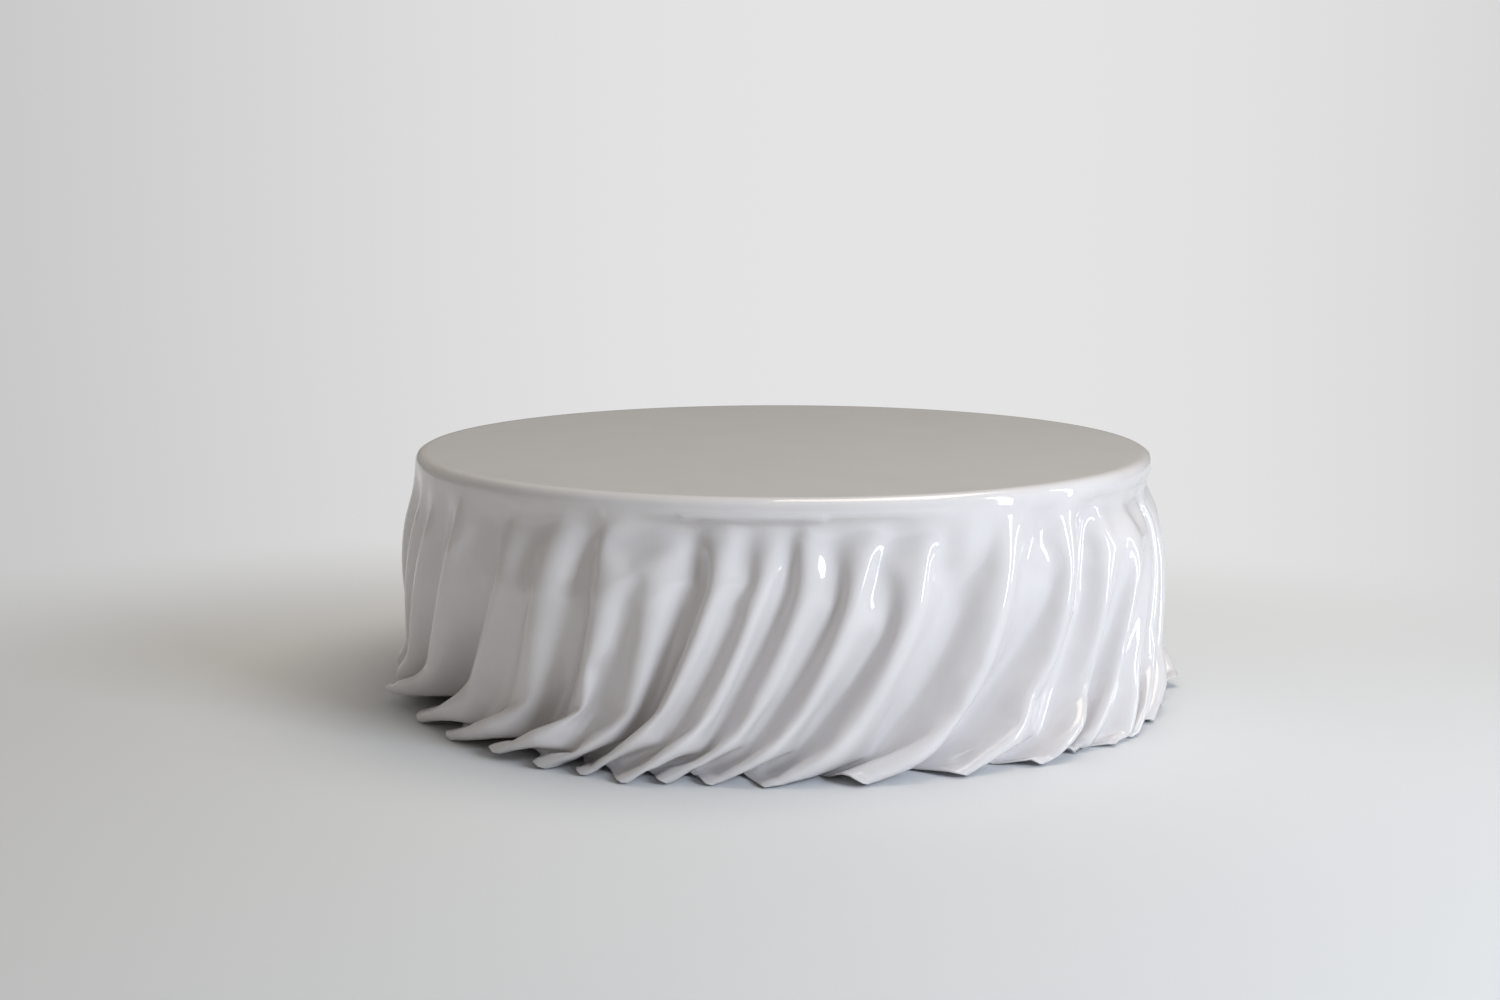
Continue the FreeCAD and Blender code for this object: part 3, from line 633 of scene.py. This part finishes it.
# Unrolls a bent piece for its grain: X goes round the ring, Y outward and Z up
def unrolled(tree, position, radius):
    split, join = addNode(tree, "ShaderNodeSeparateXYZ"), addNode(tree, "ShaderNodeCombineXYZ")
    angle, around = addNode(tree, "ShaderNodeMath"), addNode(tree, "ShaderNodeMath")
    angle.operation, around.operation = "ARCTAN2", "MULTIPLY"
    around.inputs[1].default_value = radius
    level, outward = addNode(tree, "ShaderNodeCombineXYZ"), addNode(tree, "ShaderNodeVectorMath")
    outward.operation = "LENGTH"
    link = tree.links.new
    link(position, split.inputs[0])
    link(split.outputs["Y"], angle.inputs[0])
    link(split.outputs["X"], angle.inputs[1])
    link(angle.outputs[0], around.inputs[0])
    link(split.outputs["X"], level.inputs["X"])
    link(split.outputs["Y"], level.inputs["Y"])
    link(level.outputs[0], outward.inputs[0])
    link(around.outputs[0], join.inputs["X"])
    link(outward.outputs["Value"], join.inputs["Y"])
    link(split.outputs["Z"], join.inputs["Z"])
    return join.outputs[0]


# Long grain along the piece: turn brings the grain, which runs along X, to the piece's length
def woodMaterial(name, kind, turn, bentRadius=0):
    tones = wood[kind]
    material, tree, shader = newMaterial(name)
    shader.inputs["Coat Weight"].default_value = 0.12
    shader.inputs["Coat Roughness"].default_value = 0.3
    place = addNode(tree, "ShaderNodeTexCoord")
    mapping = addNode(tree, "ShaderNodeMapping")
    mapping.vector_type = "TEXTURE"
    mapping.inputs["Rotation"].default_value = turn
    mapping.inputs["Scale"].default_value = (1.2, 0.07, 0.07)     # grain drawn out along the piece
    grain = addNode(tree, "ShaderNodeTexNoise", Scale=3.0, Detail=8.0, Roughness=0.6, Distortion=0.4)
    pores = addNode(tree, "ShaderNodeTexNoise", Scale=26.0, Detail=3.0, Roughness=0.7)
    ramp = addNode(tree, "ShaderNodeValToRGB")
    ramp.color_ramp.elements[0].position, ramp.color_ramp.elements[0].color = 0.32, tones["dark"]
    ramp.color_ramp.elements[1].position, ramp.color_ramp.elements[1].color = 0.68, tones["light"]
    rough = addNode(tree, "ShaderNodeMapRange")
    rough.inputs["To Min"].default_value = tones["roughness"] - 0.08
    rough.inputs["To Max"].default_value = tones["roughness"] + 0.12
    bump = addNode(tree, "ShaderNodeBump", Strength=0.15, Distance=0.0003)
    link = tree.links.new
    position = place.outputs["Object"]
    if bentRadius:
        position = unrolled(tree, position, bentRadius)
    link(position, mapping.inputs["Vector"])
    link(mapping.outputs[0], grain.inputs["Vector"])
    link(mapping.outputs[0], pores.inputs["Vector"])
    link(grain.outputs["Fac"], ramp.inputs["Fac"])
    link(ramp.outputs["Color"], shader.inputs["Base Color"])
    link(pores.outputs["Fac"], rough.inputs["Value"])
    link(rough.outputs[0], shader.inputs["Roughness"])
    link(pores.outputs["Fac"], bump.inputs["Height"])
    link(bump.outputs[0], shader.inputs["Normal"])
    return material


metals = {
    "zinc plate": {"color": (0.66, 0.67, 0.69, 1), "roughness": 0.34, "metal": 1.0},
    "turned brass": {"color": (0.74, 0.56, 0.26, 1), "roughness": 0.28, "metal": 1.0},
    "moulded nylon": {"color": (0.03, 0.03, 0.032, 1), "roughness": 0.5, "metal": 0.0},
}


def hardwareMaterial(name):
    look = metals[name]
    material, tree, shader = newMaterial(name)
    shader.inputs["Base Color"].default_value = look["color"]
    shader.inputs["Metallic"].default_value = look["metal"]
    place = addNode(tree, "ShaderNodeTexCoord")
    wear = addNode(tree, "ShaderNodeTexNoise", Scale=180.0, Detail=4.0, Roughness=0.6)
    rough = addNode(tree, "ShaderNodeMapRange")
    rough.inputs["To Min"].default_value = look["roughness"] - 0.08
    rough.inputs["To Max"].default_value = look["roughness"] + 0.10
    bump = addNode(tree, "ShaderNodeBump", Strength=0.08, Distance=0.0001)
    link = tree.links.new
    link(place.outputs["Object"], wear.inputs["Vector"])
    link(wear.outputs["Fac"], rough.inputs["Value"])
    link(rough.outputs[0], shader.inputs["Roughness"])
    link(wear.outputs["Fac"], bump.inputs["Height"])
    link(bump.outputs[0], shader.inputs["Normal"])
    return material


# Gives every piece of the table its material
def paintFrame():
    quarter = math.pi / 2
    alongX = woodMaterial("beech, grain along X", "beech", (0, 0, 0))
    alongY = woodMaterial("beech, grain along Y", "beech", (0, 0, quarter))
    upright = woodMaterial("beech, grain upright", "beech", (0, quarter, 0))
    bent = woodMaterial("beech, grain round the ring", "beech", (0, 0, 0), bentRadius=0.6)
    veneer = woodMaterial("birch plywood", "birch", (0, 0, 0))
    zinc, brass = hardwareMaterial("zinc plate"), hardwareMaterial("turned brass")
    nylon = hardwareMaterial("moulded nylon")
    for name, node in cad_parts.items():
        if name.startswith("leg_"):
            material = upright
        elif name in ("apron_front", "apron_back"):
            material = alongX
        elif name == "top_lipping":
            material = bent
        elif name.startswith("apron_") or name == "centre_rail" or name.startswith("corner_block"):
            material = alongY
        elif name == "top_panel":
            material = veneer
        elif name == "foot_inserts":
            material = brass
        elif name.startswith("foot_pad"):
            material = nylon
        else:
            material = zinc
        node.data.materials.clear()
        node.data.materials.append(material)


studio = {
    "floorLevel": -0.0006,         # just clear of the pads and the hem
    "floorColor": (0.76, 0.775, 0.797, 1.0),
    "backdrop": 0.775,             # brightness of the far backdrop at its brightest
    "backdropDim": 0.53,           # and far out to the sides
    "brightAt": 0.08,              # slant of the brightest part, X over distance,
    "brightTo": 0.05,              # and how far from there it starts to dim
    "dimFrom": 0.62,               # and is fully dim
    "fanBehind": 3.4,              # the fan of light starts this far out along Y
    "fadeAround": (-0.2, -0.9),    # the floor blends into the backdrop round this point,
    "fadeFrom": 1.15,              # between these distances
    "fadeTo": 2.5,
    "skyColor": (1.0, 0.95, 0.87),
    "sky": 0.25,
    # a "shine" box only makes reflections, a "light" box makes none, and "both" does both
    "key": {"at": (2.9, -1.55, 1.0), "size": (0.26, 1.96), "watts": 5.4, "color": (0.86, 0.92, 1.0),
            "spread": 90, "job": "shine"},
    "side": {"at": (3.3, -0.25, 1.0), "size": (0.16, 1.96), "watts": 3.6, "color": (0.86, 0.92, 1.0),
             "spread": 90, "job": "shine"},
    "right": {"at": (3.2, -0.9, 1.2), "size": (1.2, 2.0), "watts": 4.0, "color": (0.88, 0.93, 1.0),
              "spread": 180, "job": "light"},
    "front": {"at": (3.0, -3.0, 1.8), "size": (1.6, 1.3), "watts": 126.0, "color": (0.80, 0.885, 1.0),
              "spread": 180, "job": "light"},
    "back": {"at": (-3.0, 3.2, 2.2), "size": (2.4, 1.6), "watts": 24.0, "color": (1.0, 0.96, 0.9),
             "spread": 180, "job": "light"},
    "overhead": {"at": (0.9, -0.1, 3.2), "size": (2.0, 2.0), "watts": 42.0, "color": (1.0, 0.92, 0.79),
                 "spread": 180, "job": "both"},
}


# Brightness by place: a wide fan of light along Y, brightest a little right of the middle
def backdropBrightness(tree):
    place = addNode(tree, "ShaderNodeTexCoord")
    apart = addNode(tree, "ShaderNodeSeparateXYZ")
    depth, reach = addNode(tree, "ShaderNodeMath"), addNode(tree, "ShaderNodeMath")
    slant, offset, aside = [addNode(tree, "ShaderNodeMath") for _ in range(3)]
    for step, operation in ((depth, "ABSOLUTE"), (reach, "ADD"), (slant, "DIVIDE"),
                            (offset, "SUBTRACT"), (aside, "ABSOLUTE")):
        step.operation = operation
    reach.inputs[1].default_value = studio["fanBehind"]
    offset.inputs[1].default_value = studio["brightAt"]
    share = addNode(tree, "ShaderNodeMapRange")
    share.interpolation_type = "SMOOTHSTEP"
    share.inputs["From Min"].default_value = studio["brightTo"]
    share.inputs["From Max"].default_value = studio["dimFrom"]
    share.inputs["To Min"].default_value = studio["backdrop"]
    share.inputs["To Max"].default_value = studio["backdropDim"]
    link = tree.links.new
    link(place.outputs["Object"], apart.inputs[0])
    link(apart.outputs["Y"], depth.inputs[0])
    link(depth.outputs[0], reach.inputs[0])
    link(apart.outputs["X"], slant.inputs[0])
    link(reach.outputs[0], slant.inputs[1])
    link(slant.outputs[0], offset.inputs[0])
    link(offset.outputs[0], aside.inputs[0])
    link(aside.outputs[0], share.inputs["Value"])
    glow = addNode(tree, "ShaderNodeEmission")
    glow.inputs["Color"].default_value = (1.0, 1.0, 1.0, 1.0)
    link(share.outputs[0], glow.inputs["Strength"])
    return place, glow


def floorMaterial():
    material, tree, shader = newMaterial("pale studio floor")
    shader.inputs["Base Color"].default_value = studio["floorColor"]
    shader.inputs["Roughness"].default_value = 0.9
    shader.inputs["Specular IOR Level"].default_value = 0.1
    place, glow = backdropBrightness(tree)
    far = addNode(tree, "ShaderNodeVectorMath")
    far.operation = "DISTANCE"
    far.inputs[1].default_value = (*studio["fadeAround"], 0.0)
    share = addNode(tree, "ShaderNodeMapRange")
    share.interpolation_type = "SMOOTHSTEP"
    share.inputs["From Min"].default_value = studio["fadeFrom"]
    share.inputs["From Max"].default_value = studio["fadeTo"]
    mix = addNode(tree, "ShaderNodeMixShader")
    output = tree.nodes["Material Output"]
    link = tree.links.new
    link(place.outputs["Object"], far.inputs[0])
    link(far.outputs["Value"], share.inputs["Value"])
    link(share.outputs[0], mix.inputs["Fac"])
    link(shader.outputs[0], mix.inputs[1])
    link(glow.outputs[0], mix.inputs[2])
    link(mix.outputs[0], output.inputs["Surface"])
    return material


def backdropMaterial():
    material, tree, shader = newMaterial("pale backdrop")
    place, glow = backdropBrightness(tree)
    tree.links.new(glow.outputs[0], tree.nodes["Material Output"].inputs["Surface"])
    return material


def circle(radius, z, sides):
    turns = [2 * math.pi * j / sides for j in range(sides)]
    return [(radius * math.cos(turn), radius * math.sin(turn), z) for turn in turns]


def disc(name, radius, z, sides=96):
    return newObject(name, meshFrom(name, circle(radius, z, sides), [tuple(range(sides))]))


# Wall round the floor, seen only by the camera, so the floor runs into it without an edge
def bowl(name, radius, height, sides=96):
    vertices = circle(radius, -0.01, sides) + circle(radius, height, sides)
    faces = [(j, sides + j, sides + (j + 1) % sides, (j + 1) % sides) for j in range(sides)]
    return newObject(name, meshFrom(name, vertices, faces))


def areaLight(name, look):
    data = bpy.data.lights.new(name, "AREA")
    data.shape = "RECTANGLE"
    data.size, data.size_y = look["size"]
    data.energy = look["watts"]
    data.color = look["color"]
    data.spread = math.radians(look["spread"])
    lamp = newObject(name, data)
    lamp.location = look["at"]
    height = look["at"][2] if look["job"] == "shine" else 0      # the strips stand upright
    target = Vector((0, 0, height))
    lamp.rotation_euler = (target - Vector(look["at"])).to_track_quat("-Z", "Y").to_euler()
    lamp.visible_camera = False
    lamp.visible_glossy = look["job"] != "light"
    lamp.visible_diffuse = look["job"] != "shine"


def buildStudio():
    floor = disc("studio_floor", 12.0, studio["floorLevel"])
    floor.data.materials.append(floorMaterial())
    wall = bowl("studio_backdrop", 11.9, 9.0)
    wall.data.materials.append(backdropMaterial())
    for ray in ("visible_diffuse", "visible_glossy", "visible_shadow", "visible_transmission"):
        setattr(wall, ray, False)
    world = bpy.data.worlds.new("studio air")
    bpy.context.scene.world = world
    world.use_nodes = True
    air = world.node_tree.nodes["Background"]
    air.inputs["Color"].default_value = (*studio["skyColor"], 1.0)
    air.inputs["Strength"].default_value = studio["sky"]
    for name in ("key", "side", "right", "front", "back", "overhead"):
        areaLight(name + "_light", studio[name])
    bpy.context.scene.view_settings.view_transform = "Standard"


camera = {"at": (-0.054, -3.415, 0.835), "tiltDown": 8.82, "lens": 50.0, "sensor": 36.0}


def buildCamera():
    data = bpy.data.cameras.new("camera")
    data.lens, data.sensor_width = camera["lens"], camera["sensor"]
    made = newObject("camera", data)
    made.location = camera["at"]
    made.rotation_euler = Euler((math.radians(90 - camera["tiltDown"]), 0, 0))
    bpy.context.scene.camera = made


paintFrame()
print("table painted")
drape, ringRadii, drapeSurface, drapeNormals = buildCloth()
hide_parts("tablecloth")
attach(drape, "cloth")
print("cloth built")
hem = buildStitches(ringRadii, drapeSurface, drapeNormals)
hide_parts("hem_thread")
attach(hem, "cloth")
print("stitches made")
buildStudio()
buildCamera()
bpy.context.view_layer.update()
print(f"scene ready in {time.time() - startTime:.0f} s")
